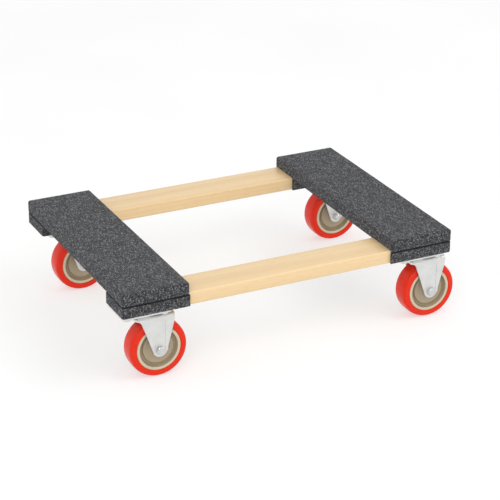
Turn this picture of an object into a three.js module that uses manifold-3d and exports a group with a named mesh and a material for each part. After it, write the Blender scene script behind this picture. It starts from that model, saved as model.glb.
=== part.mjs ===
// A carpeted furniture dolly: two hardwood rails joined by two carpeted deck boards, on four swivel casters.
// Millimetres, +Z up. The origin is on the floor, under the centre of the whole object's box.
import * as THREE from "three";
import { mergeVertices } from "three/addons/utils/BufferGeometryUtils.js";
import Module from "manifold-3d";

const wasm = await Module();
wasm.setup();

// ---- Driving dimensions ----
const LENGTH = 610; // outer faces of the two deck ends, along X
const WIDTH = 434; // outer faces of the carpet, along Y
const DECK_WIDTH = 118; // one carpeted deck, along X
const RAIL_BOTTOM = 125.5; // floor to the underside of the rails
const CARPET = 4.5; // carpet on the sides
const CARPET_TOP = 4;
const GAP = 0.3; // between pieces that touch

const RAIL_WIDTH = 63.5;
const RAIL_THICKNESS = 23.5;
const RAIL_EDGE = 3; // rounding of a rail's long edges
const BOARD_THICKNESS = 14.5;
const SEAM_BELOW_RAIL_TOP = 2.2; // the deck carpet's lower edge hangs this far below the rails' top
const SEAM = 0.5; // slot between the deck carpet and the carpet on the rail ends
const FLAP = 25; // carpet folded under the board
const DECK_CORNER = 5;

const WHEEL_R = 50.8;
const WHEEL_SEGMENTS = 24;
const TREAD_WIDTH = 34;
const HUB_R = 39; // inner radius of the tread
const HUB_WIDTH = 35;
const BORE_R = 8.6;
const SLEEVE_R = 8;
const AXLE_R = 4.6;

const PLATE = { length: 86, width: 68, thickness: 3, corner: 6, boltX: 33, boltY: 25 };
const CASTER_X = 256; // swivel axes, from the middle of the deck ends
const REAR_AHEAD = 6; // the rear casters are screwed on this far towards +X of the nominal place
const FRONT_AHEAD = -4.5;
const TRAIL = 26; // swivel axis to axle, towards +X
const FORK_INSIDE = 38.4; // between the legs
const FORK_SHEET = 2.6;
const CROWN_TOP = 113.5;
const CROWN_R = 25; // the crown's round end, about the swivel axis
const RACE_TOP = 119; // top of the raised ball race on the crown
const KINGPIN_R = 5.5;
const SCREW_R = 3.1;
const SCREW_LENGTH = 34;
const HOLE_R = 3.7; // for a screw, across an eight-sided hole's corners

// ---- Derived sizes ----
const RAIL_TOP = RAIL_BOTTOM + RAIL_THICKNESS;
const SEAM_Z = RAIL_TOP - SEAM_BELOW_RAIL_TOP;
const BOARD_BOTTOM = RAIL_TOP + GAP;
const BOARD_TOP = BOARD_BOTTOM + BOARD_THICKNESS;
const DECK_TOP = BOARD_TOP + GAP + CARPET_TOP;
const RAIL_Y = WIDTH / 2 - CARPET - GAP - RAIL_WIDTH / 2;
const PLATE_BOTTOM = RAIL_BOTTOM - PLATE.thickness;
// The trailing casters reach past one deck, so the box's middle isn't the decks' middle.
const BOX_SHIFT = (CASTER_X + REAR_AHEAD + TRAIL + WHEEL_R - LENGTH / 2) / 2;

const ends = [
  { name: "left", side: -1 },
  { name: "right", side: 1 },
];
const flanks = [
  { name: "front", side: -1, ahead: FRONT_AHEAD },
  { name: "rear", side: 1, ahead: REAR_AHEAD },
];
const corners = flanks.flatMap((flank) =>
  ends.map((end) => ({
    name: `${flank.name}_${end.name}`,
    end: end.side,
    flank: flank.side,
    x: end.side * CASTER_X + flank.ahead,
    y: flank.side * RAIL_Y,
  })),
);

const MATERIALS = {
  wood: { color: 0xe9cf9c, roughness: 0.55, metalness: 0 },
  plywood: { color: 0xc9a977, roughness: 0.7, metalness: 0 },
  carpet: { color: 0x55555b, roughness: 1, metalness: 0 },
  zinc: { color: 0xc9ccc9, roughness: 0.35, metalness: 0.9 },
  steel: { color: 0xa9abad, roughness: 0.4, metalness: 0.9 },
  urethane: { color: 0xd8321f, roughness: 0.3, metalness: 0 },
  hub: { color: 0xa69a80, roughness: 0.5, metalness: 0 },
};

// ---- Geometry helpers ----
function toSolid(geometry) {
  const source = geometry.index ? geometry.toNonIndexed() : geometry.clone();
  source.deleteAttribute("normal");
  source.deleteAttribute("uv");
  const merged = mergeVertices(source, 1e-4);
  return new wasm.Manifold(
    new wasm.Mesh({
      numProp: 3,
      vertProperties: new Float32Array(merged.attributes.position.array),
      triVerts: new Uint32Array(merged.index.array),
    }),
  );
}

function toGeometry(solid) {
  const made = solid.getMesh();
  const positions = new Float32Array(made.numVert * 3);
  for (let i = 0; i < made.numVert; i++) {
    positions.set(made.vertProperties.subarray(i * made.numProp, i * made.numProp + 3), i * 3);
  }
  const geometry = new THREE.BufferGeometry();
  geometry.setAttribute("position", new THREE.BufferAttribute(positions, 3));
  geometry.setIndex(new THREE.BufferAttribute(new Uint32Array(made.triVerts), 1));
  geometry.computeVertexNormals();
  return geometry;
}

function cut(geometry, ...tools) {
  return toGeometry(tools.reduce((left, tool) => left.subtract(toSolid(tool)), toSolid(geometry)));
}

// A box between two corners.
function box([x0, y0, z0], [x1, y1, z1]) {
  const made = new THREE.BoxGeometry(x1 - x0, y1 - y0, z1 - z0);
  return made.translate((x0 + x1) / 2, (y0 + y1) / 2, (z0 + z1) / 2);
}

// An upright cylinder from z0 to z1.
function post(x, y, z0, z1, radius, sides = 16) {
  const made = new THREE.CylinderGeometry(radius, radius, z1 - z0, sides);
  return made.rotateX(Math.PI / 2).translate(x, y, (z0 + z1) / 2);
}

// A rectangle with rounded corners and eight-sided holes, each hole's flats at its radius.
function roundedRectangle(width, height, radius, holes = []) {
  const [w, h] = [width / 2, height / 2];
  const shape = new THREE.Shape();
  shape.absarc(w - radius, -h + radius, radius, -Math.PI / 2, 0);
  shape.absarc(w - radius, h - radius, radius, 0, Math.PI / 2);
  shape.absarc(-w + radius, h - radius, radius, Math.PI / 2, Math.PI);
  shape.absarc(-w + radius, -h + radius, radius, Math.PI, Math.PI * 1.5);
  for (const [x, y, r] of holes) {
    shape.holes.push(new THREE.Path().absarc(x, y, r / Math.cos(Math.PI / 8), 0, Math.PI * 2, true));
  }
  return shape;
}

// A shape in the XY plane made thick in Z.
function slab(shape, thickness, curveSegments = 4) {
  return new THREE.ExtrudeGeometry(shape, { depth: thickness, bevelEnabled: false, curveSegments });
}

// A closed profile of [radius, along] points turned round the Y axis, with a flat at its lowest side.
function ring(profile, segments = WHEEL_SEGMENTS) {
  const area = profile.reduce((sum, [r, y], i) => {
    const [r2, y2] = profile[(i + 1) % profile.length];
    return sum + r * y2 - r2 * y;
  }, 0);
  const ordered = area > 0 ? profile : [...profile].reverse();
  const flat = Math.cos(Math.PI / segments);
  const points = [...ordered, ordered[0]].map(([r, y]) => new THREE.Vector2(r / flat, y));
  return new THREE.LatheGeometry(points, segments, Math.PI / segments);
}

// The same ring with its axis upright.
function uprightRing(profile, segments = 24) {
  return ring(profile, segments).rotateX(Math.PI / 2);
}

function hexagon(acrossFlats) {
  const shape = new THREE.Shape();
  for (let i = 0; i < 6; i++) {
    const angle = (i * Math.PI) / 3;
    const r = acrossFlats / Math.sqrt(3);
    shape[i ? "lineTo" : "moveTo"](r * Math.cos(angle), r * Math.sin(angle));
  }
  return shape;
}

function mesh(name, geometry, material) {
  const made = new THREE.Mesh(geometry, new THREE.MeshStandardMaterial(MATERIALS[material]));
  made.name = name;
  return made;
}

// ---- Deck ----
function screwPlaces({ x, y }) {
  const signs = [-1, 1];
  return signs.flatMap((a) => signs.map((b) => [x + a * PLATE.boltX, y + b * PLATE.boltY]));
}

function rail(flank) {
  const profile = roundedRectangle(RAIL_THICKNESS, RAIL_WIDTH, RAIL_EDGE);
  const length = LENGTH - 2 * (CARPET + GAP);
  const bar = slab(profile, length, 3)
    .rotateY(Math.PI / 2)
    .translate(-length / 2, flank.side * RAIL_Y, RAIL_BOTTOM + RAIL_THICKNESS / 2);
  const holes = corners
    .filter((corner) => corner.flank === flank.side)
    .flatMap(screwPlaces)
    .map(([x, y]) => post(x, y, RAIL_BOTTOM - 1, RAIL_TOP + 1, HOLE_R, 8));
  return mesh(`rail_${flank.name}`, cut(bar, ...holes), "wood");
}

function deckSpan(end) {
  const outer = (end.side * LENGTH) / 2;
  const inner = end.side * (LENGTH / 2 - DECK_WIDTH);
  return [Math.min(outer, inner), Math.max(outer, inner)];
}

function deckBoard(end) {
  const [x0, x1] = deckSpan(end);
  const inset = CARPET + GAP;
  const y = WIDTH / 2 - inset;
  const board = box([x0 + inset, -y, BOARD_BOTTOM], [x1 - inset, y, BOARD_TOP]);
  const holeTop = PLATE_BOTTOM + SCREW_LENGTH + GAP;
  const holes = corners
    .filter((corner) => corner.end === end.side)
    .flatMap(screwPlaces)
    .map(([px, py]) => post(px, py, BOARD_BOTTOM - 1, holeTop, HOLE_R, 8));
  return mesh(`deck_board_${end.name}`, cut(board, ...holes), "plywood");
}

// The carpet over a board: a tray, open below between two folded-under flaps, with room for the rails.
function deckCarpet(end) {
  const [x0, x1] = deckSpan(end);
  const plan = roundedRectangle(DECK_WIDTH, WIDTH, DECK_CORNER);
  const outside = slab(plan, DECK_TOP - SEAM_Z, 3).translate((x0 + x1) / 2, 0, SEAM_Z);
  const y = WIDTH / 2 - CARPET;
  const pocket = box(
    [x0 + CARPET, -y, BOARD_BOTTOM - GAP],
    [x1 - CARPET, y, BOARD_TOP + GAP],
  );
  const opening = box(
    [x0 + CARPET + FLAP, -y, SEAM_Z - 1],
    [x1 - CARPET - FLAP, y, BOARD_BOTTOM],
  );
  const inward = end.side < 0 ? [x0 + CARPET, x1 + 1] : [x0 - 1, x1 - CARPET];
  const channels = flanks.map((flank) => {
    const edges = [RAIL_Y - RAIL_WIDTH / 2 - GAP, WIDTH / 2 - CARPET].map((v) => v * flank.side);
    const [low, high] = [Math.min(...edges), Math.max(...edges)];
    return box([inward[0], low, SEAM_Z - 1], [inward[1], high, BOARD_BOTTOM]);
  });
  return mesh(`deck_carpet_${end.name}`, cut(outside, pocket, opening, ...channels), "carpet");
}

// The carpet band round a rail's end, under the deck.
function railEndCarpet(corner) {
  const y = corner.flank * RAIL_Y;
  const half = RAIL_WIDTH / 2 + GAP;
  const top = SEAM_Z - SEAM;
  const plan = roundedRectangle(DECK_WIDTH, 2 * (half + CARPET), DECK_CORNER);
  const centre = corner.end * (LENGTH / 2 - DECK_WIDTH / 2);
  const band = slab(plan, top - RAIL_BOTTOM, 3).translate(centre, y, RAIL_BOTTOM);
  const tip = corner.end * (LENGTH / 2 - CARPET);
  const away = corner.end * (LENGTH / 2 - DECK_WIDTH - 10);
  const core = box(
    [Math.min(tip, away), y - half, RAIL_BOTTOM - 1],
    [Math.max(tip, away), y + half, top + 1],
  );
  return mesh(`rail_end_carpet_${corner.name}`, cut(band, core), "carpet");
}

// ---- Casters ----
function topPlate(corner) {
  const holes = screwPlaces({ x: 0, y: 0 }).map(([x, y]) => [x, y, SCREW_R + GAP]);
  holes.push([0, 0, KINGPIN_R + GAP]);
  const shape = roundedRectangle(PLATE.length, PLATE.width, PLATE.corner, holes);
  const geometry = slab(shape, PLATE.thickness - GAP, 4).translate(corner.x, corner.y, PLATE_BOTTOM);
  return mesh(`top_plate_${corner.name}`, geometry, "zinc");
}

function mountingScrew(corner, [x, y], number) {
  const headDepth = 4.2;
  const head = slab(hexagon(11), headDepth).translate(x, y, PLATE_BOTTOM - GAP - headDepth);
  const shank = post(x, y, PLATE_BOTTOM - GAP - 1, PLATE_BOTTOM + SCREW_LENGTH, SCREW_R, 8);
  const geometry = toGeometry(toSolid(head).add(toSolid(shank)));
  return mesh(`mounting_screw_${corner.name}_${number}`, geometry, "steel");
}

// The kingpin: a rivet from the plate down through the crown, with the lower race cup under the crown.
function kingpin(corner) {
  const crownBottom = CROWN_TOP - FORK_SHEET;
  const profile = [
    [0, 103],
    [6, 103],
    [8, 104],
    [15, 105.5],
    [16.5, 107.5],
    [16.5, crownBottom - GAP],
    [KINGPIN_R, crownBottom - GAP],
    [KINGPIN_R, RAIL_BOTTOM - GAP],
    [0, RAIL_BOTTOM - GAP],
  ];
  const points = profile.map(([r, z]) => new THREE.Vector2(r, z));
  const geometry = new THREE.LatheGeometry(points, 16).rotateX(Math.PI / 2).translate(corner.x, corner.y, 0);
  return mesh(`kingpin_${corner.name}`, geometry, "steel");
}

// One leg's outline seen along the axle, with the axle at the origin.
function legOutline() {
  const tipR = 12.5;
  const top = CROWN_TOP - WHEEL_R;
  const shape = new THREE.Shape();
  shape.absarc(0, 0, tipR, Math.PI * 1.07, Math.PI * 1.93);
  shape.lineTo(25.5, 48);
  shape.lineTo(27, top + 1);
  shape.lineTo(-60, top + 1);
  shape.lineTo(-60, top - 4.5);
  shape.lineTo(-42, top - 4.5);
  shape.lineTo(-35, top - 6);
  shape.lineTo(-31, top - 10);
  shape.closePath();
  return shape;
}

// The U of the two legs and the crown, seen along X.
function forkSection() {
  const half = FORK_INSIDE / 2;
  const outer = half + FORK_SHEET;
  const bottom = WHEEL_R - 14;
  const bend = 5;
  const shape = new THREE.Shape();
  shape.moveTo(-outer, bottom);
  shape.lineTo(-half, bottom);
  shape.absarc(-half + bend - FORK_SHEET, CROWN_TOP - bend, bend - FORK_SHEET, Math.PI, Math.PI / 2, true);
  shape.absarc(half - bend + FORK_SHEET, CROWN_TOP - bend, bend - FORK_SHEET, Math.PI / 2, 0, true);
  shape.lineTo(half, bottom);
  shape.lineTo(outer, bottom);
  shape.absarc(outer - bend, CROWN_TOP - bend, bend, 0, Math.PI / 2);
  shape.absarc(-outer + bend, CROWN_TOP - bend, bend, Math.PI / 2, Math.PI);
  shape.closePath();
  return shape;
}

function fork(corner) {
  const axleX = corner.x + TRAIL;
  const reach = 120;
  // The section lies in XY; it is stood up so that its height runs along Z and its depth along X.
  const bent = slab(forkSection(), reach, 3)
    .applyMatrix4(new THREE.Matrix4().set(0, 0, 1, 0, 1, 0, 0, 0, 0, 1, 0, 0, 0, 0, 0, 1))
    .translate(-reach / 2, 0, 0);
  const side = slab(legOutline(), 60, 8).rotateX(Math.PI / 2).translate(0, 30, WHEEL_R);
  const plan = slab(roundedRectangle(100, 2 * CROWN_R, CROWN_R - 0.1), 140, 5)
    .translate(50 - CROWN_R - TRAIL, 0, 0);
  const legs = toSolid(bent).intersect(toSolid(side)).intersect(toSolid(plan));
  const crown = uprightRing([
    [KINGPIN_R + 1, CROWN_TOP - FORK_SHEET / 2],
    [20.5, CROWN_TOP - FORK_SHEET / 2],
    [20.5, CROWN_TOP + 2],
    [18, RACE_TOP],
    [KINGPIN_R + 1, RACE_TOP],
  ], 20).translate(-TRAIL, 0, 0);
  const axleHole = new THREE.CylinderGeometry(AXLE_R + GAP, AXLE_R + GAP, 60, 16);
  const pinHole = post(-TRAIL, 0, CROWN_TOP - 20, CROWN_TOP + 20, KINGPIN_R + 0.8, 16);
  const solid = legs
    .add(toSolid(crown))
    .subtract(toSolid(axleHole.translate(0, 0, WHEEL_R)))
    .subtract(toSolid(pinHole));
  const geometry = toGeometry(solid).translate(axleX, corner.y, 0);
  return mesh(`fork_${corner.name}`, geometry, "zinc");
}

const AXLE_HEAD = { acrossFlats: 13, depth: 5.5 };
const AXLE_NUT = { acrossFlats: 13, depth: 6.5 };
const LEG_FACE = FORK_INSIDE / 2 + FORK_SHEET;

// A prism along Y from y0, on the axle line.
function alongAxle(shape, y0, depth, segments = 4) {
  return slab(shape, depth, segments).rotateX(Math.PI / 2).translate(0, y0 + depth, 0);
}

function axleBolt(corner) {
  const facing = corner.flank;
  const head = alongAxle(hexagon(AXLE_HEAD.acrossFlats), LEG_FACE + GAP, AXLE_HEAD.depth);
  const start = -(LEG_FACE + AXLE_NUT.depth + 3);
  const shank = new THREE.CylinderGeometry(AXLE_R, AXLE_R, LEG_FACE + GAP + 1 - start, 16);
  shank.translate(0, (LEG_FACE + GAP + 1 + start) / 2, 0);
  const geometry = toGeometry(toSolid(head).add(toSolid(shank)));
  if (facing < 0) geometry.rotateZ(Math.PI);
  return mesh(`axle_bolt_${corner.name}`, geometry.translate(corner.x + TRAIL, corner.y, WHEEL_R), "steel");
}

function axleNut(corner) {
  const shape = hexagon(AXLE_NUT.acrossFlats);
  shape.holes.push(new THREE.Path().absarc(0, 0, AXLE_R + GAP, 0, Math.PI * 2, true));
  const inner = corner.flank < 0 ? LEG_FACE + GAP : -(LEG_FACE + GAP + AXLE_NUT.depth);
  const geometry = alongAxle(shape, inner, AXLE_NUT.depth, 8);
  return mesh(`axle_nut_${corner.name}`, geometry.translate(corner.x + TRAIL, corner.y, WHEEL_R), "steel");
}

function wheelPart(name, profile, material, corner, segments) {
  const geometry = ring(profile, segments).translate(corner.x + TRAIL, corner.y, WHEEL_R);
  return mesh(`${name}_${corner.name}`, geometry, material);
}

// The spacer tube that the bolt clamps between the legs; the hub turns on it.
function axleSleeve(corner) {
  const half = FORK_INSIDE / 2 - GAP;
  const bore = AXLE_R + GAP;
  return wheelPart("axle_sleeve", [[bore, -half], [SLEEVE_R, -half], [SLEEVE_R, half], [bore, half]],
    "steel", corner, 16);
}

// Both faces of a ring's profile, from the half on the +Y side given outermost radius last.
function bothSides(half) {
  return [...half, ...[...half].reverse().map(([r, y]) => [r, -y])];
}

function wheelHub(corner) {
  const half = HUB_WIDTH / 2;
  return wheelPart("wheel_hub", bothSides([
    [BORE_R, half],
    [14, half],
    [15, half - 5],
    [30, half - 6],
    [32.5, half - 0.8],
    [HUB_R - GAP, half - 0.8],
  ]), "hub", corner);
}

function wheelTread(corner) {
  const half = TREAD_WIDTH / 2;
  return wheelPart("wheel_tread", bothSides([
    [HUB_R, half - 0.3],
    [43, half],
    [48, half - 2.5],
    [WHEEL_R - 0.3, half - 7],
    [WHEEL_R, half - 11],
  ]), "urethane", corner);
}

// ---- Assembly ----
const dolly = new THREE.Group();
for (const flank of flanks) {
  dolly.add(rail(flank));
}
for (const end of ends) {
  dolly.add(deckBoard(end), deckCarpet(end));
}
for (const corner of corners) {
  dolly.add(railEndCarpet(corner), topPlate(corner), kingpin(corner), fork(corner));
  dolly.add(axleBolt(corner), axleNut(corner), axleSleeve(corner), wheelHub(corner), wheelTread(corner));
  screwPlaces(corner).forEach((place, i) => dolly.add(mountingScrew(corner, place, i + 1)));
}
dolly.position.x = -BOX_SHIFT;

export default dolly;
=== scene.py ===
import math

import bmesh
import bpy
import numpy as np
from mathutils import Matrix, Vector


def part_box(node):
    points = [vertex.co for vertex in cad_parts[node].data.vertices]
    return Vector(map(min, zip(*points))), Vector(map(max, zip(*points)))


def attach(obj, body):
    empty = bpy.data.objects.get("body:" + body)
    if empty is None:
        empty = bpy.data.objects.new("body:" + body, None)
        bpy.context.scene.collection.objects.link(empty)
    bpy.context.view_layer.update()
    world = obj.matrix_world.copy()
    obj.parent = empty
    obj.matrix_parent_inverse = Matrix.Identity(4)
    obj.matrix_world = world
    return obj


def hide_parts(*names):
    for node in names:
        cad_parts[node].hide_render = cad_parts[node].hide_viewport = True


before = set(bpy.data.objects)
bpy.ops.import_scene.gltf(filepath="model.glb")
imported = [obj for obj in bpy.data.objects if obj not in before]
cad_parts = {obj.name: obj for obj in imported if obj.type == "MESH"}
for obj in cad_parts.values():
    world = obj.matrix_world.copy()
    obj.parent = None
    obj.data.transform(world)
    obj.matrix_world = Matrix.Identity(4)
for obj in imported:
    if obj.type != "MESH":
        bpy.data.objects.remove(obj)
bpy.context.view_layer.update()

MM = 0.001
CORNERS = ["front_left", "front_right", "rear_left", "rear_right"]
RIB_PITCH = 2.5 * MM
RIB_HEIGHT = 0.8 * MM
LOOP_ROUGHNESS = 0.16 * MM
SEAM_ROUNDING = 2.0 * MM
CARPET_SIDE = 4.5 * MM  # carpet beside the board, and the radius of the deck's edges
CARPET_TOP = 4 * MM  # carpet over the board
BAND_THICKNESS = 4.4 * MM
FLAP_WIDTH = 25 * MM
RAIL_ARRIS = 3.2  # millimetres
EDGE_BEVEL = 0.3 * MM

# The fork and its fittings, in millimetres about the axle.
CROWN_TOP_Z = 0.1135  # metres above the floor
FORK_SHEET = 2.6
FORK_HALF_GAP = 19.2
FORK_BEND = 5.0
FORK_CROWN_R = 25
LEG_TIP_R = 12.5
HEX_ACROSS = 13
BALL_CIRCLE_R = 14.5
BALLS = 22


# ---- Node material helpers ----
class Nodes:
    """A material's node tree, with one short call per node."""

    def __init__(self, name):
        self.material = bpy.data.materials.new(name)
        self.material.use_nodes = True
        self.tree = self.material.node_tree
        self.shader = self.tree.nodes["Principled BSDF"]

    def link(self, source, target):
        self.tree.links.new(source, target)

    def coords(self, scale=(1, 1, 1)):
        place = self.tree.nodes.new("ShaderNodeTexCoord")
        mapping = self.tree.nodes.new("ShaderNodeMapping")
        mapping.inputs["Scale"].default_value = scale
        self.link(place.outputs["Object"], mapping.inputs["Vector"])
        return mapping.outputs["Vector"]

    def noise(self, vector, scale, detail=3, roughness=0.5, distortion=0):
        made = self.tree.nodes.new("ShaderNodeTexNoise")
        made.inputs["Scale"].default_value = scale
        made.inputs["Detail"].default_value = detail
        made.inputs["Roughness"].default_value = roughness
        made.inputs["Distortion"].default_value = distortion
        self.link(vector, made.inputs["Vector"])
        return made.outputs["Fac"]

    def voronoi(self, vector, scale, output="Distance"):
        made = self.tree.nodes.new("ShaderNodeTexVoronoi")
        made.inputs["Scale"].default_value = scale
        self.link(vector, made.inputs["Vector"])
        return made.outputs[output]

    def wave(self, vector, scale, distortion=2, detail=2, direction="X"):
        made = self.tree.nodes.new("ShaderNodeTexWave")
        made.bands_direction = direction
        made.inputs["Scale"].default_value = scale
        made.inputs["Distortion"].default_value = distortion
        made.inputs["Detail"].default_value = detail
        self.link(vector, made.inputs["Vector"])
        return made.outputs["Fac"]

    def attribute(self, name):
        made = self.tree.nodes.new("ShaderNodeAttribute")
        made.attribute_name = name
        return made.outputs["Fac"]

    def ramp(self, value, stops):
        made = self.tree.nodes.new("ShaderNodeValToRGB")
        elements = made.color_ramp.elements
        while len(elements) < len(stops):
            elements.new(0.5)
        for element, (place, colour) in zip(elements, stops):
            element.position = place
            grey = not hasattr(colour, "__len__")
            element.color = (colour, colour, colour, 1) if grey else (*colour, 1)
        self.link(value, made.inputs["Fac"])
        return made.outputs["Color"]

    def mix(self, factor, a, b, blend="MIX"):
        made = self.tree.nodes.new("ShaderNodeMix")
        made.data_type = "RGBA"
        made.blend_type = blend
        for value, socket in ((factor, 0), (a, 6), (b, 7)):
            if hasattr(value, "is_linked"):
                self.link(value, made.inputs[socket])
            else:
                made.inputs[socket].default_value = value
        return made.outputs[2]

    def maths(self, operation, a, b=0.5):
        made = self.tree.nodes.new("ShaderNodeMath")
        made.operation = operation
        for i, value in enumerate((a, b)):
            if hasattr(value, "is_linked"):
                self.link(value, made.inputs[i])
            else:
                made.inputs[i].default_value = value
        return made.outputs[0]

    def bump(self, height, strength, distance):
        made = self.tree.nodes.new("ShaderNodeBump")
        made.inputs["Strength"].default_value = strength
        made.inputs["Distance"].default_value = distance
        self.link(height, made.inputs["Height"])
        return made.outputs["Normal"]

    def finish(self, colour=None, roughness=None, normal=None, **values):
        sockets = (("Base Color", colour), ("Roughness", roughness), ("Normal", normal))
        for name, value in sockets:
            if value is not None:
                self.link(value, self.shader.inputs[name])
        for name, value in values.items():
            self.shader.inputs[name.replace("_", " ")].default_value = value
        return self.material


def carpet_material(name):
    """Charcoal heathered loops: dark yarn with light flecks, with painted shade between the ribs and along
    the seams and a painted highlight on the rib crests.
    """
    n = Nodes(name)
    place = n.coords()
    fine = n.noise(place, 700, 3, 0.8)
    loops = n.voronoi(place, 620)
    along = n.coords((1, 0.6, 1))
    yarn = n.mix(0.5, n.voronoi(along, 600, "Color"), n.noise(along, 480, 3, 0.8))
    blotch = n.noise(place, 70, 3, 0.6)
    base = n.ramp(yarn, [(0.32, 0.018), (0.46, 0.038), (0.56, 0.070), (0.70, 0.24)])
    shade = n.mix(0.75, base, n.ramp(blotch, [(0.3, 0.82), (0.7, 1.2)]), "MULTIPLY")
    # Painted shade and highlight: the rib attribute darkens the colour in the valleys, along the seams and on
    # hidden undersides, and lightens it on the crests.
    painted_rib_shading = n.ramp(n.attribute("rib"), [(0.3, 0.05), (0.58, 0.16), (0.88, 1.05), (1.0, 1.35)])
    colour = n.mix(1.0, shade, painted_rib_shading, "MULTIPLY")
    tinted = n.mix(1.0, colour, (0.97, 0.985, 1.07, 1), "MULTIPLY")
    height = n.maths("ADD", n.maths("MULTIPLY", loops, -0.8), fine)
    return n.finish(tinted, None, n.bump(height, 0.9, 0.0011), Roughness=0.95,
                    Specular_IOR_Level=0.15, Sheen_Weight=0.14, Sheen_Roughness=0.6)


def wood_material(name):
    """Pale planed hardwood: long straight grain along X, fine pores, satin."""
    n = Nodes(name)
    along = n.coords((0.9, 14, 20))
    broad = n.wave(along, 0.5, 9, 3, "Y")
    streak = n.noise(n.coords((6, 210, 260)), 1.0, 4, 0.6)
    pores = n.noise(n.coords((60, 1500, 1500)), 1.0, 2, 0.5)
    base = n.ramp(broad, [(0.0, (0.71, 0.51, 0.27)), (0.55, (0.73, 0.53, 0.29)), (1.0, (0.75, 0.555, 0.31))])
    streaks = n.ramp(streak, [(0.3, (0.90, 0.85, 0.76)), (0.7, (1.05, 1.04, 1.02))])
    grain = n.mix(0.45, base, streaks, "MULTIPLY")
    dark_pores = n.ramp(pores, [(0.28, (0.62, 0.50, 0.36)), (0.42, (1.0, 1.0, 1.0))])
    pored = n.mix(0.35, grain, dark_pores, "MULTIPLY")
    rough = n.ramp(streak, [(0.3, 0.34), (0.7, 0.44)])
    return n.finish(pored, rough, n.bump(pores, 0.18, 0.0003), Coat_Weight=0.35, Coat_Roughness=0.18)


def plywood_material(name):
    """Raw board: plies in its edges and rough grain along Y on its face."""
    n = Nodes(name)
    streak = n.noise(n.coords((160, 7, 160)), 1.0, 4, 0.6)
    plies = n.wave(n.coords((0, 0, 1)), 110, 0.6, 1, "Z")
    base = n.ramp(streak, [(0.25, (0.42, 0.27, 0.13)), (0.75, (0.60, 0.44, 0.25))])
    layered = n.mix(0.5, base, n.ramp(plies, [(0.3, 0.72), (0.7, 1.1)]), "MULTIPLY")
    return n.finish(layered, n.ramp(streak, [(0.3, 0.62), (0.7, 0.8)]), n.bump(streak, 0.3, 0.0005))


def metal_material(name, colour, rough, metallic=0.95, spangle=0.12):
    """Zinc plating: a faint patchy passivation, drawing lines and handling scuffs."""
    n = Nodes(name)
    place = n.coords()
    patches = n.noise(place, 45, 4, 0.6)
    scuffs = n.noise(n.coords((120, 120, 900)), 1.0, 3, 0.6)
    low = tuple(c * (1 - spangle) for c in colour)
    base = n.ramp(patches, [(0.3, low), (0.7, colour)])
    worn = n.mix(0.2, base, n.ramp(scuffs, [(0.3, 0.8), (0.65, 1.05)]), "MULTIPLY")
    return n.finish(worn, n.ramp(scuffs, [(0.25, rough), (0.75, rough + 0.14)]),
                    n.bump(scuffs, 0.08, 0.0002), Metallic=metallic)


def urethane_material(name):
    """Glossy cast red urethane, a little translucent, with faint scuffing on the running surface."""
    n = Nodes(name)
    cloud = n.noise(n.coords(), 40, 3, 0.5)
    fine = n.noise(n.coords((300, 90, 300)), 1.0, 3, 0.6)
    base = n.ramp(cloud, [(0.3, (0.66, 0.019, 0.003)), (0.7, (0.70, 0.023, 0.004))])
    return n.finish(base, n.ramp(fine, [(0.3, 0.18), (0.7, 0.26)]), n.bump(fine, 0.02, 0.0001),
                    Subsurface_Weight=0.03, Subsurface_Radius=(0.006, 0.001, 0.001), Subsurface_Scale=0.5,
                    Specular_IOR_Level=0.22)


def hub_material(name):
    """Beige-grey moulded plastic with faint flow marks; the rim's outer faces are painted lighter, a painted
    highlight on the same plastic.
    """
    n = Nodes(name)
    flow = n.noise(n.coords((60, 60, 60)), 1.0, 4, 0.6, 0.8)
    fine = n.noise(n.coords(), 1400, 2, 0.5)
    ring = n.attribute("rim")
    base = n.ramp(flow, [(0.3, (0.33, 0.262, 0.17)), (0.7, (0.37, 0.30, 0.20))])
    # Painted highlight: a lighter copy of the plastic for the rim's outer faces, marked by the rim attribute.
    painted_rim_highlight = n.ramp(flow, [(0.3, (0.52, 0.44, 0.31)), (0.7, (0.57, 0.48, 0.34))])
    colour = n.mix(ring, base, painted_rim_highlight)
    return n.finish(colour, n.ramp(fine, [(0.3, 0.36), (0.7, 0.5)]), n.bump(fine, 0.1, 0.0002))


CARPET = carpet_material("carpet_loops")
WOOD = wood_material("hardwood")
PLYWOOD = plywood_material("plywood")
ZINC = metal_material("zinc_plate", (0.73, 0.735, 0.72), 0.42, 0.85)
STEEL = metal_material("zinc_hardware", (0.66, 0.67, 0.67), 0.24)
# Dark for the greased balls, and dark also as painted shade of the gap between the crown and the plate.
DARK_STEEL = metal_material("race_steel", (0.30, 0.30, 0.31), 0.35)
URETHANE = urethane_material("red_urethane")
HUB = hub_material("hub_plastic")


# ---- Mesh helpers ----
def new_object(name, points, faces, material, smooth=True):
    mesh = bpy.data.meshes.new(name)
    mesh.from_pydata([tuple(p) for p in points], [], [tuple(f) for f in faces])
    mesh.validate()
    made = bpy.data.objects.new(name, mesh)
    bpy.context.scene.collection.objects.link(made)
    mesh.materials.append(material)
    if smooth:
        mesh.polygons.foreach_set("use_smooth", [True] * len(mesh.polygons))
    return made


def bevelled(obj, width, segments=3, angle=30):
    made = obj.modifiers.new("edges", "BEVEL")
    made.width = width
    made.segments = segments
    made.limit_method = "ANGLE"
    made.angle_limit = math.radians(angle)
    made.harden_normals = True
    return obj


def applied(obj):
    """The object with its modifiers made real."""
    evaluated = obj.evaluated_get(bpy.context.evaluated_depsgraph_get())
    mesh = bpy.data.meshes.new_from_object(evaluated)
    obj.modifiers.clear()
    obj.data = mesh
    return obj


def boolean(obj, tool, operation):
    made = obj.modifiers.new("cut", "BOOLEAN")
    made.operation = operation
    made.solver = "EXACT"
    made.object = tool
    applied(obj)
    bpy.data.objects.remove(tool)
    return obj


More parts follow.
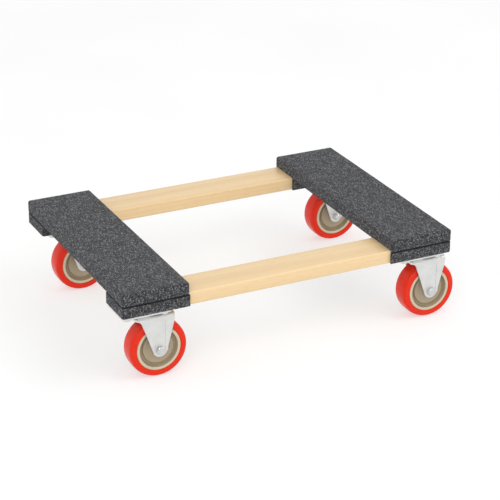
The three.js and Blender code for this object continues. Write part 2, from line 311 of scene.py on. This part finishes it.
def lathe(name, profile, material, segments=96, axis="Y", close=True):
    """A closed profile of (radius, along) in millimetres turned about the axis; it may touch the axis."""
    points, faces, rings = [], [], []
    for radius, along in profile:
        if radius < 1e-6:
            rings.append([len(points)])
            points.append((0, along * MM, 0))
            continue
        rings.append(list(range(len(points), len(points) + segments)))
        for i in range(segments):
            angle = 2 * math.pi * i / segments
            points.append((radius * MM * math.cos(angle), along * MM, radius * MM * math.sin(angle)))
    count = len(profile) if close else len(profile) - 1
    for i in range(count):
        a, b = rings[i], rings[(i + 1) % len(rings)]
        if len(a) == 1 and len(b) == 1:
            continue
        for j in range(segments):
            k = (j + 1) % segments
            if len(a) == 1:
                faces.append((a[0], b[k], b[j]))
            elif len(b) == 1:
                faces.append((a[j], a[k], b[0]))
            else:
                faces.append((a[j], a[k], b[k], b[j]))
    made = new_object(name, points, faces, material)
    if axis == "Z":
        made.data.transform(Matrix.Rotation(math.pi / 2, 4, "X"))
    fix_normals(made)
    return made


def fix_normals(obj):
    work = bmesh.new()
    work.from_mesh(obj.data)
    bmesh.ops.recalc_face_normals(work, faces=work.faces)
    work.to_mesh(obj.data)
    work.free()
    return obj


def rounded_profile(points, radius, steps=4):
    """A closed profile in millimetres with its corners rounded, except those on the axis."""
    out = []
    count = len(points)
    for i, p in enumerate(points):
        p = Vector(p)
        a, b = Vector(points[i - 1]) - p, Vector(points[(i + 1) % count]) - p
        r = min(radius, a.length * 0.45, b.length * 0.45)
        if p.x < 1e-6 or abs(a.normalized().cross(b.normalized())) < 0.05:
            out.append(tuple(p))
            continue
        start, end = p + a.normalized() * r, p + b.normalized() * r
        for s in range(steps + 1):
            t = s / steps
            q = start * (1 - t) ** 2 + p * 2 * t * (1 - t) + end * t**2
            out.append((q.x, q.y))
    return out


def prism(name, outline, depth, material, axis="Y", start=0.0):
    """A flat outline in millimetres made thick along an axis from start; (u, v) lie in the other two axes."""
    count = len(outline)
    points = []
    for along in (start, start + depth):
        for u, v in outline:
            points.append({"Y": (u, along, v), "X": (along, u, v), "Z": (u, v, along)}[axis])
    faces = [tuple(range(count)), tuple(range(2 * count - 1, count - 1, -1))]
    faces += [(i, (i + 1) % count, count + (i + 1) % count, count + i) for i in range(count)]
    made = new_object(name, [tuple(c * MM for c in p) for p in points], faces, material, smooth=False)
    return fix_normals(made)


def arc(cx, cy, radius, start, end, steps):
    angles = np.radians(np.linspace(start, end, steps + 1))
    return [(cx + radius * math.cos(a), cy + radius * math.sin(a)) for a in angles]


def smooth_by_angle(obj, degrees=35):
    mesh = obj.data
    mesh.polygons.foreach_set("use_smooth", [True] * len(mesh.polygons))
    mesh.set_sharp_from_angle(angle=math.radians(degrees))
    return obj


def put(obj, body, *nodes, slot=None):
    """Rides on the body and stands for the CAD nodes, which it hides. The slot is not used."""
    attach(obj, body)
    if nodes:
        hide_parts(*nodes)
    return obj


def copy_at(master, name, location, turned=False):
    made = bpy.data.objects.new(name, master.data)
    made.matrix_world = Matrix.Translation(location)
    if turned:
        made.matrix_world = Matrix.Translation(location) @ Matrix.Rotation(math.pi, 4, "Z")
    bpy.context.scene.collection.objects.link(made)
    for modifier in master.modifiers:
        again = made.modifiers.new(modifier.name, modifier.type)
        for setting in ("width", "segments", "limit_method", "angle_limit", "harden_normals"):
            setattr(again, setting, getattr(modifier, setting))
    return made


# ---- Carpet ----
def rib_shape(distance):
    """Height of the loops, from 0 in a valley to 1 on a rib's crest."""
    return np.sqrt(np.abs(np.cos(np.pi * distance / RIB_PITCH)))


def loop_noise(points, seed):
    """Loops of uneven height, about two millimetres apart, from -1 to 1."""
    rng = np.random.default_rng(seed)
    phases = rng.uniform(0, 2 * np.pi, (10, 1))
    waves = rng.normal(0, 1, (10, 3))
    waves /= np.linalg.norm(waves, axis=1, keepdims=True)
    waves *= rng.uniform(1500, 3200, (10, 1))
    rough = np.sin(waves @ points.T + phases).sum(axis=0) / 4
    return np.clip(rough, -1, 1)


def evenly(low, high, step):
    return np.linspace(low, high, max(2, int(round((high - low) / step)) + 1))


def with_fine_ends(low, high, step, fine, zone):
    return np.concatenate([
        evenly(low, low + zone, fine),
        evenly(low + zone, high - zone, step)[1:-1],
        evenly(high - zone, high, fine),
    ])


def carpet_tray(name, lo, hi, seed):
    """Ribbed carpet over a board: a hollow tray with rounded edges, its ribs along Y, open underneath."""
    xs = evenly(lo.x, hi.x, RIB_PITCH / 5)
    ys = with_fine_ends(lo.y, hi.y, 2.2 * MM, 0.7 * MM, 7 * MM)
    zs = evenly(lo.z, hi.z, RIB_PITCH / 5)
    shape = (len(xs), len(ys), len(zs))
    i, j, k = np.meshgrid(*(np.arange(n) for n in shape), indexing="ij")
    on_side = (i == 0) | (i == shape[0] - 1) | (j == 0) | (j == shape[1] - 1)
    on_top = k == shape[2] - 1
    kept = on_side | on_top
    number = np.full(shape, -1, dtype=np.int64)
    number[kept] = np.arange(kept.sum())
    flat = np.stack([xs[i[kept]], ys[j[kept]], zs[k[kept]]], axis=1)

    low, high = np.array(lo) + CARPET_SIDE, np.array(hi) - CARPET_SIDE
    low[2] = -1
    core = np.clip(flat, low, high)
    normal = flat - core
    normal /= np.linalg.norm(normal, axis=1, keepdims=True)
    middle = (lo.x + hi.x) / 2
    half = (hi.x - lo.x) / 2
    on_x_side = (i[kept] == 0) | (i[kept] == shape[0] - 1)
    across = np.where(on_x_side, half + hi.z - flat[:, 2], np.abs(flat[:, 0] - middle))
    rib = rib_shape(across)
    points = core + normal * CARPET_SIDE
    rim = np.clip((points[:, 2] - lo.z) / SEAM_ROUNDING, 0, 1)
    tuck = SEAM_ROUNDING * (1 - np.sqrt(1 - (1 - rim) ** 2))
    rise = RIB_HEIGHT * (rib - 1) + LOOP_ROUGHNESS * loop_noise(points, seed) * rib
    points = points + normal * (rise - tuck)[:, None]

    def grid(numbers, flip):
        a, b = numbers[:-1, :-1], numbers[1:, :-1]
        c, d = numbers[1:, 1:], numbers[:-1, 1:]
        quads = np.stack([a, b, c, d] if not flip else [d, c, b, a], axis=-1)
        return quads.reshape(-1, 4)

    faces = np.concatenate([
        grid(number[:, :, -1], False),
        grid(number[0], True),
        grid(number[-1], False),
        grid(number[:, 0], False),
        grid(number[:, -1], True),
    ]).tolist()
    near, right = number[:, 0, 0], number[-1, 1:, 0]
    far, left = number[-2::-1, -1, 0], number[0, -2:0:-1, 0]
    loop = np.concatenate([near, right, far, left])
    inner = core[loop].copy()
    plan = np.clip(flat[loop, :2], np.array(lo)[:2] + CARPET_SIDE, np.array(hi)[:2] - CARPET_SIDE)
    inner[:, :2] = plan
    inner[:, 2] = lo.z
    ceiling = inner.copy()
    ceiling[:, 2] = hi.z - CARPET_TOP
    first = len(points)
    count = len(loop)
    points = np.concatenate([points, inner, ceiling])
    for a in range(count):
        b = (a + 1) % count
        faces.append((int(loop[b]), int(loop[a]), first + a, first + b))
        faces.append((first + b, first + a, first + count + a, first + count + b))
    faces.append(tuple(range(first + count, first + 2 * count)))
    made = new_object(name, points, faces, CARPET)
    # Painted shade: the rib value falls in the valleys and towards the seam along the bottom edge, and is
    # lowest on the inner walls and underside.
    values = np.concatenate([rib * (0.1 + 0.9 * rim), np.full(2 * count, 0.1)])
    made.data.attributes.new("rib", "FLOAT", "POINT").data.foreach_set("value", values)
    return fix_normals(made)


def carpet_band(name, path, low, high, thickness, seed):
    """Ribbed carpet stood on edge along a path in XY: ribs upright, top and bottom edges rounded over."""
    path = np.array(path)
    steps = np.linalg.norm(np.diff(path, axis=0), axis=1)
    along = np.concatenate([[0], np.cumsum(steps)])
    places = evenly(0, along[-1], RIB_PITCH / 5)
    line = np.stack([np.interp(places, along, path[:, c]) for c in (0, 1)], axis=1)
    tangent = np.gradient(line, axis=0)
    tangent /= np.linalg.norm(tangent, axis=1, keepdims=True)
    outward = np.stack([tangent[:, 1], -tangent[:, 0]], axis=1)
    rows = np.concatenate([
        evenly(low, low + SEAM_ROUNDING, 0.25 * MM),
        evenly(low + SEAM_ROUNDING, high - SEAM_ROUNDING, 1.6 * MM)[1:-1],
        evenly(high - SEAM_ROUNDING, high, 0.25 * MM),
    ])
    edge = np.clip(np.minimum(rows - low, high - rows) / SEAM_ROUNDING, 0, 1)
    tuck = SEAM_ROUNDING * (1 - np.sqrt(1 - (1 - edge) ** 2))
    rib = rib_shape(places)
    face = np.zeros((len(places), len(rows), 3))
    face[:, :, :2] = line[:, None]
    face[:, :, 2] = rows[None]
    noise = loop_noise(face.reshape(-1, 3), seed).reshape(face.shape[:2])
    rise = RIB_HEIGHT * (rib[:, None] - 1) + LOOP_ROUGHNESS * noise * rib[:, None] - tuck[None]
    face[:, :, :2] += outward[:, None] * rise[:, :, None]
    back = np.zeros((len(places), 2, 3))
    back[:, :, :2] = (line - outward * thickness)[:, None]
    back[:, 0, 2] = high
    back[:, 1, 2] = low
    section = np.concatenate([face, back], axis=1)
    count = section.shape[1]
    faces = []
    for a in range(len(places) - 1):
        for b in range(count):
            c = (b + 1) % count
            faces.append((a * count + b, (a + 1) * count + b, (a + 1) * count + c, a * count + c))
    faces.append(tuple(range(count)))
    faces.append(tuple(range(len(places) * count - 1, (len(places) - 1) * count - 1, -1)))
    made = new_object(name, section.reshape(-1, 3), faces, CARPET)
    # Painted shade: low values on the back, and falling in the valleys and towards the seam at the top edge.
    values = np.full((len(places), count), 0.1)
    values[:, :-2] = rib[:, None] * (0.1 + 0.9 * np.clip((high - rows) / SEAM_ROUNDING, 0, 1))[None]
    made.data.attributes.new("rib", "FLOAT", "POINT").data.foreach_set("value", values.ravel())
    return fix_normals(made)


def deck_carpets():
    for seed, end in enumerate(("left", "right")):
        node = f"deck_carpet_{end}"
        lo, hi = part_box(node)
        tray = carpet_tray(f"deck_carpet_pile_{end}", lo, hi, seed + 3)
        put(tray, "chassis", node, slot="carpet")
        deck_flaps(end, lo, hi)


def deck_flaps(end, lo, hi):
    """The carpet's two edges folded under the board between the rails, each held by a row of staples."""
    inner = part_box("rail_rear")[0].y - 1 * MM
    starts = {"outer": lo.x + CARPET_SIDE, "inner": hi.x - CARPET_SIDE - FLAP_WIDTH}
    for side, x0 in starts.items():
        x1 = x0 + FLAP_WIDTH
        name = f"deck_carpet_flap_{end}_{side}"
        xs = evenly(x0, x1, RIB_PITCH / 4)
        ys = evenly(-inner, inner, 3 * MM)
        x, y = np.meshgrid(xs, ys, indexing="ij")
        rib = rib_shape(x - x0)
        places = np.stack([x.ravel(), y.ravel(), 0 * x.ravel()], axis=1)
        noise = loop_noise(places, 11).reshape(x.shape)
        under = lo.z + 0.2 * MM + RIB_HEIGHT * (1 - rib) - 0.12 * MM * noise * rib
        bottom = np.stack([x, y, under], axis=-1)
        top = np.stack([x, y, np.full_like(x, lo.z + 2.15 * MM)], axis=-1)
        made = shell_between(name, bottom, top, rib)
        put(made, "chassis", slot="carpet")
        staples(f"staples_{end}_{side}", (x0 + x1) / 2, inner, lo.z + 0.2 * MM)


def shell_between(name, bottom, top, rib):
    """A closed slab between two grids of points."""
    nx, ny = bottom.shape[:2]
    number = np.arange(nx * ny).reshape(nx, ny)
    corners = [number[:-1, :-1], number[1:, :-1], number[1:, 1:], number[:-1, 1:]]
    quads = np.stack(corners, axis=-1).reshape(-1, 4)
    faces = (quads + nx * ny).tolist() + quads[:, ::-1].tolist()
    loop = [*number[:, 0], *number[-1, 1:], *number[-2::-1, -1], *number[0, -2:0:-1]]
    for a, b in zip(loop, loop[1:] + loop[:1]):
        faces.append((int(a), int(b), int(b) + nx * ny, int(a) + nx * ny))
    made = new_object(name, np.concatenate([bottom.reshape(-1, 3), top.reshape(-1, 3)]), faces, CARPET)
    # Painted shade: the flap's underside darkens in its valleys, and its top takes a fixed dark value.
    values = np.concatenate([rib.ravel(), np.full(nx * ny, 0.5)])
    made.data.attributes.new("rib", "FLOAT", "POINT").data.foreach_set("value", values)
    return fix_normals(made)


def staples(name, x, reach, z):
    """A row of wire staples, their crowns lying across the flap."""
    wire, crown = 0.45 * MM, 10 * MM
    points, faces = [], []
    for y in np.linspace(-reach + 15 * MM, reach - 15 * MM, 9):
        route = [(-crown / 2, 1.6 * MM), (-crown / 2, 0.3 * MM), (-crown / 2 + 0.8 * MM, 0), (0, -0.15 * MM),
                 (crown / 2 - 0.8 * MM, 0), (crown / 2, 0.3 * MM), (crown / 2, 1.6 * MM)]
        first = len(points)
        for s, (u, w) in enumerate(route):
            before, after = route[max(s - 1, 0)], route[min(s + 1, len(route) - 1)]
            along = Vector((after[0] - before[0], 0, after[1] - before[1])).normalized()
            side = Vector((0, 1, 0))
            up = along.cross(side)
            for a in range(8):
                angle = 2 * math.pi * a / 8
                offset = side * math.cos(angle) * wire * 1.4 + up * math.sin(angle) * wire
                points.append((x + u + offset.x, y + offset.y, z + w + offset.z))
        for s in range(len(route) - 1):
            for a in range(8):
                b = (a + 1) % 8
                p, q = first + s * 8, first + (s + 1) * 8
                faces.append((p + a, p + b, q + b, q + a))
        faces.append(tuple(range(first, first + 8)))
        last = first + (len(route) - 1) * 8
        faces.append(tuple(range(last + 7, last - 1, -1)))
    put(fix_normals(new_object(name, points, faces, STEEL)), "chassis", slot="bright_steel")


def rail_end_carpets():
    for seed, corner in enumerate(CORNERS):
        node = f"rail_end_carpet_{corner}"
        lo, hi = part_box(node)
        radius = 5 * MM
        x_in, x_out = (hi.x, lo.x) if corner.endswith("left") else (lo.x, hi.x)
        turn = 1 if x_out > x_in else -1
        bends = []
        for cy, angles in ((lo.y + radius, (-90, 0)), (hi.y - radius, (0, 90))):
            for x, y in arc(0, 0, radius, *angles, 10):
                bends.append((x_out - turn * radius + turn * x, cy + y))
        path = [(x_in, lo.y), *bends, (x_in, hi.y)]
        if turn < 0:
            path.reverse()
        band = carpet_band(f"rail_end_band_{corner}", path, lo.z, hi.z, BAND_THICKNESS, seed + 20)
        put(band, "chassis", node, slot="carpet")


# ---- Wood ----
def rails():
    for flank in ("front", "rear"):
        node = f"rail_{flank}"
        lo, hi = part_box(node)
        r = RAIL_ARRIS
        w, h = (hi.y - lo.y) / 2 / MM, (hi.z - lo.z) / 2 / MM
        outline = (arc(w - r, -h + r, r, -90, 0, 8) + arc(w - r, h - r, r, 0, 90, 8)
                   + arc(-w + r, h - r, r, 90, 180, 8) + arc(-w + r, -h + r, r, 180, 270, 8))
        length = (hi.x - lo.x) / MM
        bar = prism(f"hardwood_rail_{flank}", outline, length, WOOD, "X", -length / 2)
        smooth_by_angle(bar, 30)
        bar.data.transform(Matrix.Translation((lo + hi) / 2))
        put(bar, "chassis", node, slot="rail_wood")


# ---- Casters ----
def fork_mesh():
    """The fork about its axle: two tapered legs bent down from a crown, with a pressed ball race."""
    race_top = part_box("fork_front_left")[1].z
    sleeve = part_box("axle_sleeve_front_left")
    axle = (sleeve[0] + sleeve[1]) / 2
    swivel = (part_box("kingpin_front_left")[0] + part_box("kingpin_front_left")[1]) / 2
    back = (swivel.x - axle.x) / MM
    top = (CROWN_TOP_Z - axle.z) / MM
    race = (race_top - axle.z) / MM
    sheet, half, bend = FORK_SHEET, FORK_HALF_GAP, FORK_BEND
    outer = half + sheet
    section = [(-outer, -14.0), (-half, -14.0)]
    section += arc(-half + bend - sheet, top - bend, bend - sheet, 180, 90, 6)
    section += arc(half - bend + sheet, top - bend, bend - sheet, 90, 0, 6)
    section += [(half, -14.0), (outer, -14.0)]
    section += arc(outer - bend, top - bend, bend, 0, 90, 8)
    section += arc(-outer + bend, top - bend, bend, 90, 180, 8)
    body = prism("fork", section, 140, ZINC, "X", -70)
    outline = arc(0, 0, LEG_TIP_R, 193, 347, 28)
    outline += [(25.5, 48.0), (27, top + 2), (-66, top + 2), (-66, top - 4.5)]
    outline += [(-43, top - 4.5), (-39.5, top - 4.9), (-36.5, top - 5.8)]
    outline += [(-34, top - 7.4), (-32.2, top - 9.6), (-31, top - 12)]
    boolean(body, prism("side", outline, 80, ZINC, "Y", -40), "INTERSECT")
    plan = arc(back, 0, FORK_CROWN_R, 90, 270, 40)
    plan += [(back + 90, -FORK_CROWN_R), (back + 90, FORK_CROWN_R)]
    boolean(body, prism("plan", plan, 140, ZINC, "Z", -40), "INTERSECT")
    crown = [(6.3, top - sheet / 2), (21.5, top - sheet / 2), (21.5, top + 0.1), (20.6, top + 1.2)]
    crown += [(20.3, race - 2), (19.6, race - 0.7), (18, race), (9, race), (6.3, race - 0.6)]
    ring = lathe("crown", crown, ZINC, 72, "Z")
    ring.data.transform(Matrix.Translation((back * MM, 0, 0)))
    boolean(body, ring, "UNION")
    for side in (-1, 1):
        crease = [(9.5, -2), (10.4, -4), (11.4, -4), (13.6, -2)]
        crease += [(13.6, 49), (11.4, 51), (10.4, 51), (9.5, 49)]
        boolean(body, prism("crease", crease, 1.1, ZINC, "Y", side * outer - 0.55), "UNION")
    hole = lathe("hole", [(0, -40), (5.0, -40), (5.0, 40), (0, 40)], ZINC, 32, close=False)
    boolean(body, hole, "DIFFERENCE")
    pin = lathe("pin", [(0, 30), (6.3, 30), (6.3, 90), (0, 90)], ZINC, 32, "Z", close=False)
    pin.data.transform(Matrix.Translation((back * MM, 0, 0)))
    boolean(body, pin, "DIFFERENCE")
    body.data.materials.clear()
    body.data.materials.append(ZINC)
    bevelled(body, 0.4 * MM, 2, 35)
    smooth_by_angle(body, 40)
    return body


def hexagon(across):
    r = across / math.sqrt(3)
    return [(r * math.cos(math.pi * i / 3), r * math.sin(math.pi * i / 3)) for i in range(6)]


def hex_head(name, across, depth, chamfered_end, start):
    """A hexagon from start along Y with its outer corners turned down."""
    made = prism(name, hexagon(across), depth, STEEL, "Y", start)
    r = across / math.sqrt(3) + 0.01
    near, far = start - 1, start + depth + 1
    cut_end = start + depth
    face, tip = across / 2 - 0.2, across / 2 - 0.6
    tool = [(0, near), (r, near), (r, cut_end - 1.3), (face, cut_end), (tip, far), (0, far)]
    if chamfered_end < 0:
        tool = [(0, far), (r, far), (r, start + 1.3), (face, start), (tip, near), (0, near)]
    boolean(made, lathe("turned", tool, STEEL, 48, close=False), "INTERSECT")
    return made


def axle_bolt_mesh():
    """The bolt with its head towards -Y and a threaded end past the nut."""
    head = hex_head("bolt", HEX_ACROSS, 5.5, -1, -27.6)
    ridges = []
    for i in range(9):
        ridges += [(4.7, 24.0 + i * 0.95), (4.15, 24.0 + i * 0.95 + 0.5)]
    shank_profile = [(0, -22.6), (4.7, -22.6), (4.7, 23.9), *ridges, (3.9, 31.1), (0, 31.3)]
    shank = lathe("shank", shank_profile, STEEL, 40, close=False)
    boolean(head, shank, "UNION")
    dish_profile = [(0, -27.9), (4.6, -27.9), (4.6, -27.35), (4.2, -27.2), (0, -27.2)]
    boolean(head, lathe("dish", dish_profile, STEEL, 32, close=False), "DIFFERENCE")
    bevelled(head, 0.2 * MM, 2, 40)
    return smooth_by_angle(head, 35)


def axle_nut_mesh():
    """A lock nut with a domed collar on its outer side."""
    nut = hex_head("nut", HEX_ACROSS, 5.2, 1, 22.1)
    collar = lathe("collar", [(4.9, 26.5), (6.1, 26.5), (6.1, 27.6), (5.6, 28.4), (4.9, 28.6)], STEEL, 40)
    boolean(nut, collar, "UNION")
    hole = lathe("hole", [(0, 20), (4.9, 20), (4.9, 30), (0, 30)], STEEL, 32, close=False)
    boolean(nut, hole, "DIFFERENCE")
    bevelled(nut, 0.2 * MM, 2, 40)
    return smooth_by_angle(nut, 35)


def mirrored(half):
    return half + [(r, -y) for r, y in reversed(half)]


def tread_mesh():
    half = [(39.0, 16.4), (39.6, 16.9), (45.6, 17.0), (47.9, 16.3)]
    half += [(49.3, 14.6), (50.2, 12.0), (50.6, 8.5), (50.78, 3.5)]
    return smooth_by_angle(lathe("tread", rounded_profile(mirrored(half), 1.2), URETHANE, 128), 50)


def hub_mesh():
    half = [(8.6, 17.4), (12.6, 17.4), (13.4, 13.5), (20.5, 12.4), (26.6, 13.0), (27.8, 9.0)]
    half += [(31.9, 8.6), (33.6, 15.9), (34.4, 16.5), (38.0, 16.5), (38.7, 15.9)]
    hub = lathe("hub", rounded_profile(mirrored(half), 0.7), HUB, 128)
    mesh = hub.data
    # rim marks the rim's outer faces, which the material paints lighter as a painted highlight.
    values = []
    for v in mesh.vertices:
        radius = math.hypot(v.co.x, v.co.z) / MM
        values.append(1.0 if radius > 33.7 and abs(v.co.y) > 13 * MM else 0.0)
    mesh.attributes.new("rim", "FLOAT", "POINT").data.foreach_set("value", values)
    return smooth_by_angle(hub, 40)


def kingpin_mesh(low, high):
    """The rivet and the pressed lower race cup, about the swivel axis, from its lowest point up."""
    h = (high - low) / MM
    profile = [(0, 0.6), (3.0, 0.0), (6.0, 0.2), (7.8, 1.2), (10.5, 1.6), (14.8, 2.6)]
    profile += [(16.2, 4.6), (16.5, 7.0), (15.6, 7.6), (5.5, 7.6), (5.5, h), (0, h)]
    return lathe("kingpin", profile, STEEL, 56, "Z", close=False)


def ball_race_mesh(z_low, z_high):
    """A ring of balls between the fork's race and the top plate."""
    radius = (z_high - z_low) / 2 * 0.98
    work = bmesh.new()
    for i in range(BALLS):
        angle = 2 * math.pi * i / BALLS
        x, y = BALL_CIRCLE_R * MM * math.cos(angle), BALL_CIRCLE_R * MM * math.sin(angle)
        place = Matrix.Translation((x, y, 0))
        bmesh.ops.create_uvsphere(work, u_segments=16, v_segments=10, radius=radius, matrix=place)
    mesh = bpy.data.meshes.new("balls")
    work.to_mesh(mesh)
    work.free()
    mesh.materials.append(DARK_STEEL)
    mesh.polygons.foreach_set("use_smooth", [True] * len(mesh.polygons))
    made = bpy.data.objects.new("balls", mesh)
    bpy.context.scene.collection.objects.link(made)
    return made


def casters():
    kingpin_low, kingpin_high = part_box("kingpin_front_left")
    plate_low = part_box("top_plate_front_left")[0]
    race_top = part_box("fork_front_left")[1].z
    masters = {
        "fork": fork_mesh(),
        "axle_bolt": axle_bolt_mesh(),
        "axle_nut": axle_nut_mesh(),
        "wheel_tread": tread_mesh(),
        "wheel_hub": hub_mesh(),
        "kingpin": kingpin_mesh(kingpin_low.z, kingpin_high.z),
        "balls": ball_race_mesh(race_top, plate_low.z),
    }
    looks = {
        "fork": "pressed_fork",
        "axle_bolt": "hex_bolt",
        "axle_nut": "lock_nut",
        "wheel_tread": "cast_tread",
        "wheel_hub": "moulded_hub",
        "kingpin": "kingpin_rivet",
    }
    slots = {"fork": "zinc_plate", "wheel_tread": "tread_urethane", "wheel_hub": "hub_plastic"}
    for corner in CORNERS:
        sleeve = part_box(f"axle_sleeve_{corner}")
        axle = (sleeve[0] + sleeve[1]) / 2
        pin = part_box(f"kingpin_{corner}")
        swivel = (pin[0] + pin[1]) / 2
        for kind in ("fork", "axle_bolt", "axle_nut"):
            flip = kind != "fork" and corner.startswith("rear")
            made = copy_at(masters[kind], f"{looks[kind]}_{corner}", axle, flip)
            put(made, f"caster_{corner}", f"{kind}_{corner}", slot=slots.get(kind, "bright_steel"))
        for kind in ("wheel_tread", "wheel_hub"):
            made = copy_at(masters[kind], f"{looks[kind]}_{corner}", axle)
            put(made, f"wheel_{corner}", f"{kind}_{corner}", slot=slots[kind])
        foot = Vector((swivel.x, swivel.y, pin[0].z))
        made = copy_at(masters["kingpin"], f"{looks['kingpin']}_{corner}", foot)
        put(made, "chassis", f"kingpin_{corner}", slot="bright_steel")
        middle = Vector((swivel.x, swivel.y, (race_top + plate_low.z) / 2))
        balls = copy_at(masters["balls"], f"race_balls_{corner}", middle)
        put(balls, f"caster_{corner}", slot="bright_steel")
    for master in masters.values():
        bpy.data.objects.remove(master)


def carried_over():
    """The CAD nodes that stay: their finish and softened edges."""
    finishes = {"deck_board": PLYWOOD, "top_plate": ZINC, "mounting_screw": STEEL, "axle_sleeve": STEEL}
    for name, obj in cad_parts.items():
        for start, material in finishes.items():
            if name.startswith(start):
                obj.data.materials.clear()
                obj.data.materials.append(material)
                bevelled(obj, EDGE_BEVEL, 2, 50)


# ---- Stage ----
def camera():
    """A long lens from the front and left, 25 degrees above the floor."""
    middle = (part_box("deck_carpet_left")[0].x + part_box("deck_carpet_right")[1].x) / 2
    data = bpy.data.cameras.new("camera")
    data.lens = 132.8
    data.sensor_width = 36
    data.shift_x = -0.0176
    data.shift_y = 0.030
    data.clip_start, data.clip_end = 0.1, 30
    made = bpy.data.objects.new("camera", data)
    made.location = (-1.287 + middle, -2.650, 1.309 + 0.1258)
    azimuth, elevation, roll = math.radians(-26.68), math.radians(24.83), math.radians(0.47)
    forward = Vector((-math.sin(azimuth) * math.cos(elevation), math.cos(azimuth) * math.cos(elevation),
                      -math.sin(elevation)))
    made.rotation_mode = "QUATERNION"
    level = forward.to_track_quat("-Z", "Y")
    made.rotation_quaternion = level @ Matrix.Rotation(roll, 4, "Z").to_quaternion()
    bpy.context.scene.collection.objects.link(made)
    bpy.context.scene.camera = made


def area_light(name, location, size, power, target=(0, 0, 0.08)):
    data = bpy.data.lights.new(name, "AREA")
    data.shape = "RECTANGLE"
    data.size, data.size_y = size
    data.energy = power
    made = bpy.data.objects.new(name, data)
    made.location = location
    made.rotation_mode = "QUATERNION"
    made.rotation_quaternion = (Vector(target) - Vector(location)).to_track_quat("-Z", "Y")
    bpy.context.scene.collection.objects.link(made)


def stage():
    n = Nodes("paper")
    soft = n.noise(n.coords(), 3, 2, 0.5)
    paper = n.finish(n.ramp(soft, [(0.3, 0.43), (0.7, 0.45)]), None, None, Roughness=0.9,
                     Specular_IOR_Level=0.1, Emission_Color=(1, 1, 1, 1), Emission_Strength=0.52)
    corners = [(-8, -8, 0), (8, -8, 0), (8, 8, 0), (-8, 8, 0)]
    floor = new_object("floor", corners, [(0, 1, 2, 3)], paper, smooth=False)
    world = bpy.data.worlds.new("studio")
    world.use_nodes = True
    world.node_tree.nodes["Background"].inputs["Color"].default_value = (1, 1, 1, 1)
    world.node_tree.nodes["Background"].inputs["Strength"].default_value = 0.92
    bpy.context.scene.world = world
    bpy.context.scene.view_settings.view_transform = "Standard"
    area_light("key", (-1.6, -2.2, 2.0), (1.4, 1.4), 24)
    area_light("top", (1.15, -1.2, 2.3), (1.6, 0.7), 12)
    area_light("fill", (2.2, -1.8, 1.2), (1.6, 1.6), 7)


camera()
stage()
deck_carpets()
rail_end_carpets()
rails()
casters()
carried_over()
bpy.context.view_layer.update()
